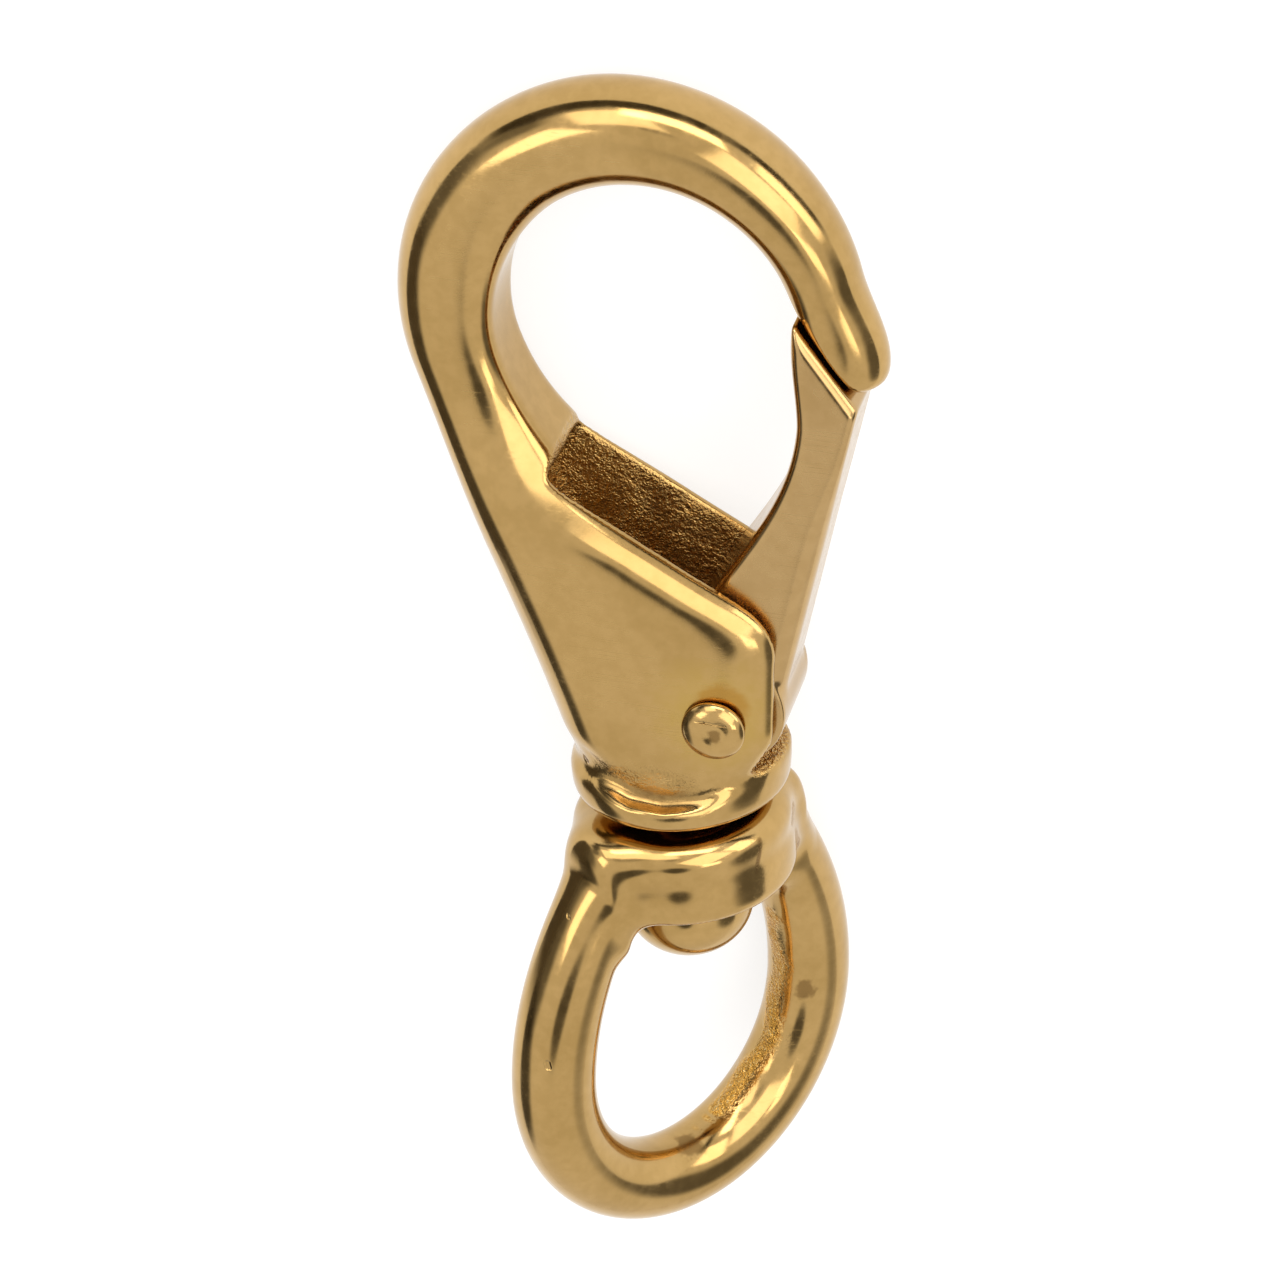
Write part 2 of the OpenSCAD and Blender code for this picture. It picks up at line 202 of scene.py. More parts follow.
def sections(outer, inner, t, ao, zo, ai, zi, steps=12, fullest=0.97):
    """Rings between outer and inner plan points, reaching t above and below their plane.

    The corners are rounded by ao and zo on the outer side and by ai and zi on the inner one,
    across and in depth, up to the fullest share of the half section.
    """
    half = np.linalg.norm(outer - inner, axis=1) / 2
    middle = (outer + inner) / 2
    along = (outer - inner) / (2 * half[:, None])
    t = np.broadcast_to(t, half.shape)
    ro, ri = np.minimum(ao, fullest * half), np.minimum(ai, fullest * half)
    ho, hi = np.minimum(zo, fullest * t), np.minimum(zi, fullest * t)
    quarter = np.radians(np.linspace(0, 90, steps + 1))
    across, depth = [], []
    for n, (cx, cz, rx, rz) in enumerate((
        (half - ro, t - ho, ro, ho), (ri - half, t - hi, ri, hi),
        (ri - half, hi - t, ri, hi), (half - ro, ho - t, ro, ho),
    )):
        a = quarter + n * math.pi / 2
        across.append(cx[:, None] + rx[:, None] * np.cos(a))
        depth.append(cz[:, None] + rz[:, None] * np.sin(a))
    across, depth = np.concatenate(across, axis=1), np.concatenate(depth, axis=1)
    plan = middle[:, None, :] + along[:, None, :] * across[:, :, None]
    return np.concatenate([plan, depth[:, :, None]], axis=2)


def skin_of(rings, closed=False):
    """Points, quads and end triangles of a solid through a row of rings."""
    n, m = rings.shape[:2]
    points = rings.reshape(-1, 3)
    rows = np.arange(n if closed else n - 1)[:, None]
    cols = np.arange(m)[None, :]
    after, beside = (rows + 1) % n, (cols + 1) % m
    quads = np.stack(
        [rows * m + cols, after * m + cols, after * m + beside, rows * m + beside], axis=-1
    ).reshape(-1, 4)
    if closed:
        return points, quads, None
    ends = np.array([rings[0].mean(axis=0), rings[-1].mean(axis=0)])
    ring = np.arange(m)
    caps = [
        np.stack([np.full(m, n * m + e), start + ring, start + (ring + 1) % m], axis=1)
        for e, start in ((0, 0), (1, (n - 1) * m))
    ]
    return np.concatenate([points, ends]), quads, np.concatenate(caps)


class Block:
    """A regular grid round one casting, and the fields of distances on it."""

    def __init__(self, low, high, step, reach=2.2):
        """Corners, step and the reach of the distances from the skin, all in millimetres."""
        self.step = step
        self.reach = reach
        self.first = np.floor(np.array(low) / step).astype(int)
        self.shape = tuple(np.ceil(np.array(high) / step).astype(int) - self.first + 1)
        self.place = vdb.createLinearTransform(voxelSize=step)
        x, y, z = ((self.first[k] + np.arange(self.shape[k])) * step for k in range(3))
        self.x, self.y, self.z = x[:, None, None], y[None, :, None], z[None, None, :]

    def solid(self, rings, closed=False):
        """Solid through a row of rings, which runs back into itself where it is closed."""
        points, quads, triangles = skin_of(rings, closed)
        grid = vdb.FloatGrid.createLevelSetFromPolygons(
            points.astype(np.float32), quads=quads.astype(np.uint32),
            triangles=None if triangles is None else triangles.astype(np.uint32),
            transform=self.place, halfWidth=self.reach / self.step,
        )
        field = np.empty(self.shape, np.float32)
        grid.copyToArray(field, ijk=tuple(int(v) for v in self.first))
        return field

    def about(self, axis, depth):
        """Radius and depth of each point about an axis that crosses -Y at the given depth."""
        along = self.x * axis[0] + (self.y + depth) * axis[1] + self.z * axis[2]
        square = self.x ** 2 + (self.y + depth) ** 2 + self.z ** 2 - along ** 2
        return np.sqrt(np.maximum(square, 0)), depth - along

    def turned(self, outline, axis, depth=0.0):
        """Solid of revolution; the outline gives radius and depth down the axis."""
        fine = self.step / 2
        radius, down = self.about(axis, depth)
        table_r = np.arange(0, radius.max() + 2 * fine, fine)
        table_d = np.arange(down.min() - fine, down.max() + 2 * fine, fine)
        table = polygon_distance(table_r[:, None], table_d[None, :], outline)
        r, d = radius / fine, (down - table_d[0]) / fine
        i, j = r.astype(int), d.astype(int)
        r, d = r - i, d - j
        return (
            (table[i, j] * (1 - r) + table[i + 1, j] * r) * (1 - d)
            + (table[i, j + 1] * (1 - r) + table[i + 1, j + 1] * r) * d
        ).astype(np.float32)

    def plate(self, outline, half_thick, softness=0.0):
        """Plan outline made thick along Z."""
        flat = polygon_distance(self.x[:, :, 0], self.y[:, :, 0], outline)[:, :, None]
        return cut_off(flat, half_thick - np.abs(self.z), softness).astype(np.float32)

    def rod(self, centre, radius):
        """Endless round bar along Z."""
        return np.hypot(self.x - centre[0], self.y - centre[1]) - radius + 0 * self.z

    def worm(self, points, radii):
        """Round groove or bead through a few points, with a radius at each."""
        field = np.full(self.shape, np.inf, np.float32)
        for (a, ra), (b, rb) in zip(zip(points, radii), zip(points[1:], radii[1:])):
            a, b = np.array(a, float), np.array(b, float)
            way = b - a
            t = ((self.x - a[0]) * way[0] + (self.y - a[1]) * way[1] + (self.z - a[2]) * way[2])
            t = np.clip(t / way.dot(way), 0, 1)
            d = np.sqrt(
                (self.x - a[0] - way[0] * t) ** 2 + (self.y - a[1] - way[1] * t) ** 2
                + (self.z - a[2] - way[2] * t) ** 2
            ) - mix(ra, rb, t)
            field = np.minimum(field, d)
        return field

    def grit(self, grain, seed):
        """Smooth noise with grains of the given size, about -1 to 1."""
        noise = np.random.default_rng(seed).standard_normal(self.shape).astype(np.float32)
        noise = blur(noise, grain / self.step)
        return noise / (2 * noise.std())

    def sample(self, field, points):
        """The field at any points, from the eight grid points round each."""
        place = points / self.step - self.first
        low = np.clip(place.astype(int), 0, np.array(self.shape) - 2)
        part = place - low
        total = 0.0
        for corner in range(8):
            pick = np.array([corner >> 2 & 1, corner >> 1 & 1, corner & 1])
            weight = np.prod(np.where(pick, part, 1 - part), axis=1)
            at = low + pick
            total = total + weight * field[at[:, 0], at[:, 1], at[:, 2]]
        return total

    def slope(self, field, points):
        return np.stack([self.sample(g, points) for g in np.gradient(field, self.step)], axis=1)


def blur(field, sigma):
    """Gaussian blur, with sigma in steps of the grid."""
    reach = max(1, int(math.ceil(3 * sigma)))
    weights = np.exp(-0.5 * (np.arange(-reach, reach + 1) / sigma) ** 2)
    weights /= weights.sum()
    for axis in range(3):
        padding = [(reach, reach) if k == axis else (0, 0) for k in range(3)]
        padded = np.pad(field, padding, mode="edge")
        size = field.shape[axis]
        field = sum(
            w * np.take(padded, np.arange(k, k + size), axis=axis) for k, w in enumerate(weights)
        ).astype(np.float32)
    return field


def polygon_distance(x, y, outline):
    """Distance to a closed outline in a plane, negative inside."""
    x, y = np.broadcast_arrays(x, y)
    nearest = np.full(x.shape, np.inf)
    inside = np.zeros(x.shape, bool)
    outline = np.asarray(outline, float)
    for a, b in zip(outline, np.roll(outline, -1, axis=0)):
        way = b - a
        length = way.dot(way)
        if length < TINY:
            continue
        t = np.clip(((x - a[0]) * way[0] + (y - a[1]) * way[1]) / length, 0, 1)
        gap = (x - a[0] - way[0] * t) ** 2 + (y - a[1] - way[1] * t) ** 2
        nearest = np.minimum(nearest, gap)
        crosses = (a[1] > y) != (b[1] > y)
        rise = b[1] - a[1] if abs(b[1] - a[1]) > TINY else TINY
        inside ^= crosses & (x < a[0] + (y - a[1]) * way[0] / rise)
    return np.where(inside, -1, 1) * np.sqrt(nearest)


def join(a, b, fillet):
    """Two solids in one, with a soft fillet between them."""
    if fillet <= 0:
        return np.minimum(a, b)
    overlap = np.clip(fillet - np.abs(a - b), 0, None) / fillet
    return np.minimum(a, b) - overlap * overlap * fillet / 4


def cut_off(field, tool, softness=0.0):
    """Takes the tool away from the solid, with its rim rounded by the given softness."""
    return -join(-field, tool, softness)


def arc(cx, cy, rx, ry, start, end, steps):
    a = np.linspace(start, end, steps + 1)
    return np.stack([cx + rx * np.cos(np.radians(a)), cy + ry * np.sin(np.radians(a))], axis=1)


# Plan of the hook, the same as the solid's.

def loop_outer(a):
    radius = LOOP_OUTER_R - NOSE_SLIM * ease((SLIM_START - a) / SLIM_REACH)
    flare = NOSE_FLARE * (1 - ease((a - NOSE_END - FLARE_START) / FLARE_REACH))
    return np.array(LOOP_CENTRE) + polar(radius, a) + np.stack([flare, 0 * flare], axis=-1)


def loop_inner(a):
    return np.array(BOWL_CENTRE) + polar(LOOP_INNER_R + 0 * a, a)


SIDE_START = loop_outer(np.array(LOOP_END))
SIDE_DIR = np.array([-math.sin(math.radians(LOOP_END)), math.cos(math.radians(LOOP_END))])
SIDE_IN = np.array([-SIDE_DIR[1], SIDE_DIR[0]])
SIDE_LEN = (SIDE_START[1] - COLLAR_ENTRY) / -SIDE_DIR[1]
EDGE_START = loop_inner(np.array(LOOP_END))
SEAT_POINT = mix(
    loop_inner(np.array(SEAT_TURN)), loop_outer(np.array(SEAT_TURN)), SEAT_SHARE
)
WAIST = mix(np.array(PIVOT), SEAT_POINT, 0.81) - [WAIST_BACK, 0]
GATE_SWELL = mix(np.array(PIVOT), SEAT_POINT, 0.288) - [FOOT_R + SWELL_BACK, 0]
GATE_DRAW = mix(np.array(PIVOT), SEAT_POINT, 0.486) + [DRAW_OUT, 0]
TIP_BEND = SEAT_POINT + [-BEND_BACK, BEND_RISE]
TIP_END = SEAT_POINT + [-TIP_BACK, TIP_RISE]


def long_side(v):
    """Left side of the hook, from the loop at 0 down to the collar at 1."""
    v = np.asarray(v)[..., None]
    return SIDE_START + SIDE_DIR * SIDE_LEN * v + SIDE_IN * SIDE_BOW * ease(v / 0.8)


def spine(v):
    """Inner side of the web that closes the channel on the left."""
    return long_side(v) + SIDE_IN * SPINE_WEB


FLOOR_CORNER = spine(0.84)[0]


def cheek_edge(v):
    """Edge of the cheeks, down the front corner and the right side to the collar."""
    bend_at, side_at, toe_at = 0.55, 0.7, 0.9
    limb_pull, border_pull, bend_pull, bend_fall = 8, 9, 1.9, 2.2
    line = polar(1, CHEEK_SLOPE)
    end = np.array([RIGHT_SIDE - CORNER_IN, CHEEK_CORNER])
    top = np.array([RIGHT_SIDE, CHEEK_CORNER - CORNER_DOWN])
    foot = np.array([RIGHT_SIDE, CHANNEL_FLOOR + TOE_UP])
    last = np.array([COLLAR_R - TOE_IN, COLLAR_ENTRY])
    v = np.atleast_1d(v)
    border = bezier(EDGE_START, EDGE_START + limb_pull * SIDE_DIR, end - border_pull * line, end,
                    v / bend_at)
    bend = bezier(end, end + bend_pull * line, top + [0, bend_fall], top,
                  (v - bend_at) / (side_at - bend_at))
    side = mix(top, foot, ((v - side_at) / (toe_at - side_at))[:, None])
    toe = mix(foot, last, ((v - toe_at) / (1 - toe_at))[:, None])
    v = v[:, None]
    lower = np.where(v < toe_at, side, toe)
    return np.where(v < bend_at, border, np.where(v < side_at, bend, lower))


def loop_rings(steps):
    """Round at the nose and the crown, flatter inside where the loop runs into the limb."""
    thin_from, flat_from, over, tip_round, closed_by = 60, 120, 60, 9, 0.5
    a = np.linspace(NOSE_END, LOOP_END, steps)
    thin, flat = ease((thin_from - a) / over), ease((a - flat_from) / over)
    close = 1 - closed_by * (1 - ease((a - NOSE_END) / tip_round)) ** 2
    outer, inner = loop_outer(a), loop_inner(a)
    outer = mix(inner, outer, close[:, None])
    t = mix(mix(LOOP_THICK, NOSE_THICK, thin), LIMB_THICK, flat) / 2 * close
    half = np.linalg.norm(outer - inner, axis=1) / 2
    return sections(outer, inner, t, half, t, mix(half, LIMB_ROLL, flat), mix(t, LIMB_DROP, flat))


def body_rings(steps):
    """From the limb down to the collar: full thickness, rolled borders and a round foot."""
    v = np.linspace(0, 1, steps)[1:]
    outer, inner = long_side(v), cheek_edge(v)
    swell, foot, border = ease(v / 0.42), ease((v - 0.86) / 0.14), ease(v / 0.3)
    t = mix(LIMB_THICK, BODY_THICK, swell) / 2
    half = np.linalg.norm(outer - inner, axis=1) / 2
    ao = mix(mix(LIMB_ROUND, SIDE_ROUND, swell), half, foot)
    ai = mix(mix(LIMB_ROLL, BORDER_ROLL, border), half, foot)
    zi = mix(mix(LIMB_DROP, BORDER_DROP, border), t, foot)
    return sections(outer, inner, t, ao, t, ai, zi)


def channel_plan():
    """Plan of the open channel, past the right side so that it cuts through."""
    start = cheek_edge(CHANNEL_START)[0]
    return [
        start + [0, CHANNEL_END], start + [0.1, -CHANNEL_END], *spine(np.arange(0.36, 0.77, 0.08)),
        (FLOOR_CORNER + FLOOR_BEND, CHANNEL_FLOOR + FLOOR_RISE),
        (FLOOR_CORNER + FLOOR_RUN, CHANNEL_FLOOR), (CHANNEL_PAST, CHANNEL_FLOOR),
        (CHANNEL_PAST, start[1] + OVER_END), start + [FLOOR_RUN, OVER_END],
    ]


def beyond_seat(block, gap):
    """Distance past the seat's plane, towards the nose, shifted by a gap."""
    a = math.radians(SEAT_SLOPE)
    return (
        (block.x - SEAT_POINT[0]) * math.sin(a) + (block.y - SEAT_POINT[1]) * math.cos(a) - gap
        + 0 * block.z
    )


def near_seat(block):
    """Positive away from the stretch of the plan that the seat crosses."""
    a = math.radians(SEAT_SLOPE)
    along = (block.x - SEAT_POINT[0]) * math.cos(a) - (block.y - SEAT_POINT[1]) * math.sin(a)
    middle, half_length = 1.65, 7.75
    return np.abs(along - middle) - half_length + 0 * block.z


def swivel_outline():
    """Collar, shank and button head, as radius and depth down the swivel's axis."""
    crown, rim, edge = 0.7, 1.3, 0.9
    top = RING_FOOT + SEAT_PLAY
    side = top + BUTTON_SIDE
    return np.concatenate([
        [[0, -COLLAR_H]],
        arc(COLLAR_R - crown, crown - COLLAR_H, crown, crown, 270, 360, 10),
        arc(COLLAR_R - rim, -rim, rim, rim, 0, 90, 14),
        [[SHANK_R, 0], [SHANK_R, top]],
        arc(BUTTON_R - edge, side, edge, BUTTON_SIDE, 270, 360, 12),
        arc(0, side, BUTTON_R, BUTTON_H - BUTTON_SIDE, 4, 90, 24),
    ])


LEAN_AXIS = turn_about("Z", SWIVEL_LEAN) @ [0, 1, 0]


# From fields of distances to shaded pieces.

TO_ROW = turn_about("Y", REST_ROLL) @ turn_about("X", REST_PITCH)


def to_row(points):
    """Points of the hook's frame as they lie in the row frame, in metres."""
    return (points @ TO_ROW.T + np.array(REST_PLACE)) * MM


def skin_masks(block, field, points, normals, **masks):
    """Hollows and flat ground faces of a casting, with the masks that are given as fields."""
    spread_over, hollow, flat_from, flat_over = 0.9, 0.28, 0.975, 0.02
    spread = block.sample(blur(field, spread_over / block.step), points)
    # The crevice mask darkens the bronze's colour: tarnish and painted shade in the hollows.
    found = {
        "crevice": ease(-spread / hollow),
        "ground_face": ease((np.abs(normals[:, 2]) - flat_from) / flat_over),
        "sand_cast": 0 * spread, "as_cast": 0 * spread, "seam": 0 * spread,
    }
    found.update({name: block.sample(values, points) for name, values in masks.items()})
    return found


def clean_skin(block, field):
    """Points, quads and normals of the field's zero level, with each point moved onto it."""
    grid = vdb.FloatGrid(block.reach)
    grid.transform = block.place
    grid.copyFromArray(field.astype(np.float32), ijk=tuple(int(v) for v in block.first))
    points, quads = grid.convertToQuads()
    points = points.astype(float)
    least_steep = 0.25
    for _ in range(3):
        slope = block.slope(field, points)
        steep = np.maximum((slope ** 2).sum(axis=1), least_steep)
        points -= slope * (block.sample(field, points) / steep)[:, None]
    slope = block.slope(field, points)
    normals = slope / np.maximum(np.linalg.norm(slope, axis=1), 1e-6)[:, None]
    return points, quads.astype(int), normals


def in_scene(name, data):
    obj = bpy.data.objects.new(name, data)
    bpy.context.scene.collection.objects.link(obj)
    return obj


def piece(name, points, faces, normals, masks, body, node, material):
    """Mesh object in the row frame that replaces its solid and rides on the body, if one is given."""
    mesh = bpy.data.meshes.new(name)
    mesh.from_pydata(to_row(points).tolist(), [], [list(face) for face in faces])
    mesh.polygons.foreach_set("use_smooth", np.ones(len(faces), bool))
    for mask, values in masks.items():
        mesh.attributes.new(mask, "FLOAT", "POINT").data.foreach_set(
            "value", np.clip(values, 0, 1).astype(np.float32)
        )
    mesh.attributes.new("cast_place", "FLOAT_VECTOR", "POINT").data.foreach_set(
        "vector", points.astype(np.float32).ravel()
    )
    mesh.normals_split_custom_set_from_vertices((normals @ TO_ROW.T).tolist())
    mesh.materials.append(material)
    obj = in_scene(name, mesh)
    if body:
        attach(obj, body)
    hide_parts(node)
    return obj


def hook_casting(material):
    block = Block((-21.5, -14.5, -8.2), (16.0, 56.5, 8.2), fine(0.27, 0.4))
    body = block.solid(np.concatenate([loop_rings(170), body_rings(150)]))
    field = join(body, block.turned(swivel_outline(), LEAN_AXIS), 1.3)
    channel = block.plate(channel_plan(), CHANNEL_W / 2, 0.8)
    field = cut_off(field, channel, 0.45)
    past_seat = beyond_seat(block, SEAT_GAP / 2)
    seat = np.maximum(np.maximum(past_seat, near_seat(block)), -SEAT_DEEP - past_seat)
    field = cut_off(field, seat, 0.25)
    field = cut_off(field, block.rod(PIVOT, RIVET_D / 2))

    groove = [(-5.7, 4.6, 5.6), (-4.3, 3.35, 6.35), (-2.0, 2.7, 6.8), (0.4, 2.6, 6.9),
              (3.0, 3.05, 6.75), (4.2, 3.6, 6.5), (4.7, 4.6, 6.5)]
    groove_radii = (0.25, 0.5, 0.62, 0.62, 0.5, 0.35, 0.1)
    field = cut_off(field, block.worm(groove, groove_radii), 0.7)

    sand_reach, sand_over = 0.35, 0.1
    rough = np.clip(1 - np.abs(channel) / sand_reach, 0, 1)
    rough = rough * (np.abs(block.z) < CHANNEL_W / 2 + sand_over)
    patch_across, patch_up = (block.x + 0.8) / 3.4, (block.y - 4.1) / 0.8
    patch = np.exp(-patch_across ** 2 - patch_up ** 2) * (block.z > 4)
    field = field + rough * (0.05 + 0.12 * block.grit(0.3, 11)) + patch * 0.09 * block.grit(0.28, 5)
    field = blur(field, fine(0.8, 0.6)) + SKIN_IN
    points, quads, normals = clean_skin(block, field)
    masks = skin_masks(block, field, points, normals, sand_cast=rough, as_cast=patch)
    piece("hook_casting", points, quads, normals, masks, "hook", "hook_body",
          material)


def gate_rings(steps):
    """From the foot up to the tip, bellied on the inner side and straight on the outer one."""
    waist_at, front_round, back_round, tip_round = 0.75, 0.9, 1.6, 0.5
    v = np.linspace(0, 1, steps)
    foot = np.array(PIVOT) - [FOOT_R, 0]
    lower = bezier(foot, GATE_SWELL, GATE_DRAW, WAIST, v / waist_at)
    upper = bezier(WAIST, WAIST + [0, WAIST_RISE], TIP_BEND, TIP_END, (v - waist_at) / (1 - waist_at))
    inner = np.where(v[:, None] < waist_at, lower, upper)
    rise = inner[:, 1] + OUTER_RISE * np.minimum(v / 0.2, 1)
    waist_x, foot_x = WAIST[0] + GATE_W, PIVOT[0] + FOOT_R - FOOT_DRAW
    outer_x = mix(foot_x, waist_x, (rise - PIVOT[1]) / (WAIST[1] - PIVOT[1]))
    outer = np.stack([outer_x, rise], axis=1)
    t = mix(FOOT_THICK, TIP_THICK, ease(v)) / 2
    back = mix(back_round, tip_round, ease((v - 0.45) / 0.3))
    return sections(outer, inner, t, back, back, front_round, front_round)


def spring_room(block):
    """Slot in the gate's foot: round the coil, open towards the spine, with room for each leg."""
    room = COIL_R + WIRE_D / 2 + COIL_CLEARANCE
    leg = COIL_R + WIRE_D / 2 + LEG_PLAY
    past = 14
    x, y = PIVOT
    flat = block.rod(PIVOT, room)
    for right, low, high in ((x, y - past, y + room), (x + leg, y, y + LEG_ROOM)):
        outline = [(x - past, low), (right, low), (right, high), (x - past, high)]
        opening = polygon_distance(block.x[:, :, 0], block.y[:, :, 0], outline)
        flat = np.minimum(flat, opening[:, :, None])
    return np.maximum(flat, np.abs(block.z) - SPRING_SLOT / 2)


def gate_lever(material):
    block = Block((-2.5, 3.0, -5.5), (15.5, 43.0, 5.5), fine(0.17, 0.3))
    field = block.solid(gate_rings(160))
    foot = np.maximum(block.rod(PIVOT, FOOT_R), np.abs(block.z) - FOOT_THICK / 2)
    field = join(field, foot, 0.4)
    field = cut_off(field, spring_room(block), 0.2)
    past_seat = beyond_seat(block, -SEAT_GAP / 2)
    field = np.maximum(field, past_seat)
    bevel = past_seat + np.abs(block.z) - TIP_THICK / 2 + TIP_BEVEL
    field = np.maximum(field, bevel * 0.7071)
    field = cut_off(field, block.rod(PIVOT, RIVET_D / 2 + RIVET_CLEARANCE))
    field = blur(field, 0.8) + SKIN_IN
    points, quads, normals = clean_skin(block, field)
    masks = skin_masks(block, field, points, normals)
    piece("gate_lever", points, quads, normals, masks, "gate", "gate", material)


def torsion_spring(material):
    """Coil round the rivet: the lower leg stays on the floor, the upper leg sits in the gate's slot.
    """
    coil_steps, leg_steps, sides = 140, 24, 20
    sweep = 360 * SPRING_TURNS + 90
    a = np.linspace(0, sweep, coil_steps)
    height = COIL_PITCH * (a - sweep / 2) / 360
    coil = np.column_stack([polar(COIL_R, a - 90) + PIVOT, height])
    t = np.linspace(0, 1, leg_steps)[:, None]
    leg_gap = WIRE_D / 2 + LEG_PLAY
    lower = [FLOOR_CORNER + FLOOR_RUN, CHANNEL_FLOOR + leg_gap, height[0]]
    upper = [PIVOT[0] + COIL_R, PIVOT[1] + LEG_ROOM - leg_gap, height[-1]]
    path = np.concatenate([
        mix(np.array(lower), coil[0], t)[:-1], coil, mix(coil[-1], np.array(upper), t)[1:],
    ])
    way = np.gradient(path, axis=0)
    way /= np.linalg.norm(way, axis=1)[:, None]
    side = np.cross(way, [0, 0, 1])
    side /= np.linalg.norm(side, axis=1)[:, None]
    up = np.cross(side, way)
    around = np.radians(np.linspace(0, 360, sides, endpoint=False))[None, :, None]
    out = side[:, None] * np.cos(around) + up[:, None] * np.sin(around)
    points, quads, ends = skin_of(path[:, None] + WIRE_D / 2 * out)
    normals = np.concatenate([out.reshape(-1, 3), -way[:1], way[-1:]])
    spring = piece("torsion_spring", points, [*quads, *ends], normals, {}, None, "gate_spring",
                   material)
    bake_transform(spring)


def rivet_heads(material):
    """Rivet with a low dome at each end, and a small dent in the front one."""
    x, y = PIVOT
    block = Block((x - 3.2, y - 3.2, -8.4), (x + 3.2, y + 3.2, 8.4), fine(0.1, 0.15))
    head_gap, side, into_head = 0.02, 0.2, 0.3
    dent_side, dent_lift, dent_r = 0.15, 1.3, 1.5
    radius = np.hypot(block.x - x, block.y - y) + 0 * block.z
    seat = BODY_THICK / 2 + head_gap
    height = np.abs(block.z) - seat
    dome = np.sqrt(np.clip(1 - (radius / (HEAD_D / 2)) ** 2, 0.02, 1))
    crown = side + (HEAD_H - side) * dome
    head = np.maximum(np.maximum(radius - HEAD_D / 2, (height - crown) * 0.8), -height)
    shank = np.maximum(radius - RIVET_D / 2 + SKIN_IN, height - into_head)
    field = np.minimum(head, shank)
    dent = np.sqrt((block.x - x - dent_side) ** 2 + (block.y - y) ** 2
                   + (block.z - seat - HEAD_H - dent_lift) ** 2) - dent_r
    field = cut_off(field, dent, 0.25)
    field = blur(field, 1.2) + 0.01
    points, quads, normals = clean_skin(block, field)
    masks = skin_masks(block, field, points, normals)
    piece("rivet", points, quads, normals, masks, "hook", "gate_rivet", material)


def eye_half(steps, half_width, low, corner, draw, shoulder, rise):
    """Right half of one edge of the eye: its round foot, the side drawn in, and the shoulder."""
    a = np.linspace(0, 90, 3 * steps, endpoint=False)
    s, c = np.sin(np.radians(a)), np.cos(np.radians(a))
    foot = np.stack([half_width * s, -EYE_WIDE - (low - EYE_WIDE) * c], axis=1)
    y = mix(EYE_WIDE, corner, np.linspace(0, 1, 2 * steps, endpoint=False))
    side = np.stack([half_width - draw * (EYE_WIDE - y) ** 2, -y], axis=1)
    a = np.linspace(0, 90, steps)
    s, c = np.sin(np.radians(a)), np.cos(np.radians(a))
    reach = half_width - draw * (EYE_WIDE - corner) ** 2 - shoulder
    top = np.stack([shoulder + reach * c, -corner + rise * s], axis=1)
    return np.concatenate([foot, side, top])


def eye_pairs(steps):
    """Outer and inner edges of the eye, from its lowest point round and back."""
    low = EYE_TOP + EYE_H
    outer = eye_half(steps, EYE_W / 2, low, EYE_TOP + 3.1, draw=0.019, shoulder=8.2, rise=2.6)
    inner = eye_half(steps, EYE_W / 2 - EYE_BAR, low - EYE_BAR, RING_FOOT + 3.4, draw=0.0195,
                     shoulder=4.2, rise=3.4)
    flip = np.array([-1, 1])
    return (np.concatenate([outer, outer[:0:-1] * flip]),
            np.concatenate([inner, inner[:0:-1] * flip]))


def ring_outline():
    """Swivel ring with a bead round its top and a shallow hollow under the bead."""
    bead, edge, hollow, hollow_at, hollow_over = 1.8, 0.9, 0.13, 3.1, 0.8
    down = np.linspace(EYE_TOP + bead, RING_FOOT - edge, 24)
    side = RING_R - hollow * np.exp(-((down - EYE_TOP - hollow_at) / hollow_over) ** 2)
    return np.concatenate([
        [[0, EYE_TOP]],
        arc(RING_R - bead, EYE_TOP + bead, bead, bead, 270, 360, 12),
        np.stack([side, down], axis=1),
        arc(RING_R - edge, RING_FOOT - edge, edge, edge, 0, 90, 10),
        [[0, RING_FOOT]],
    ])


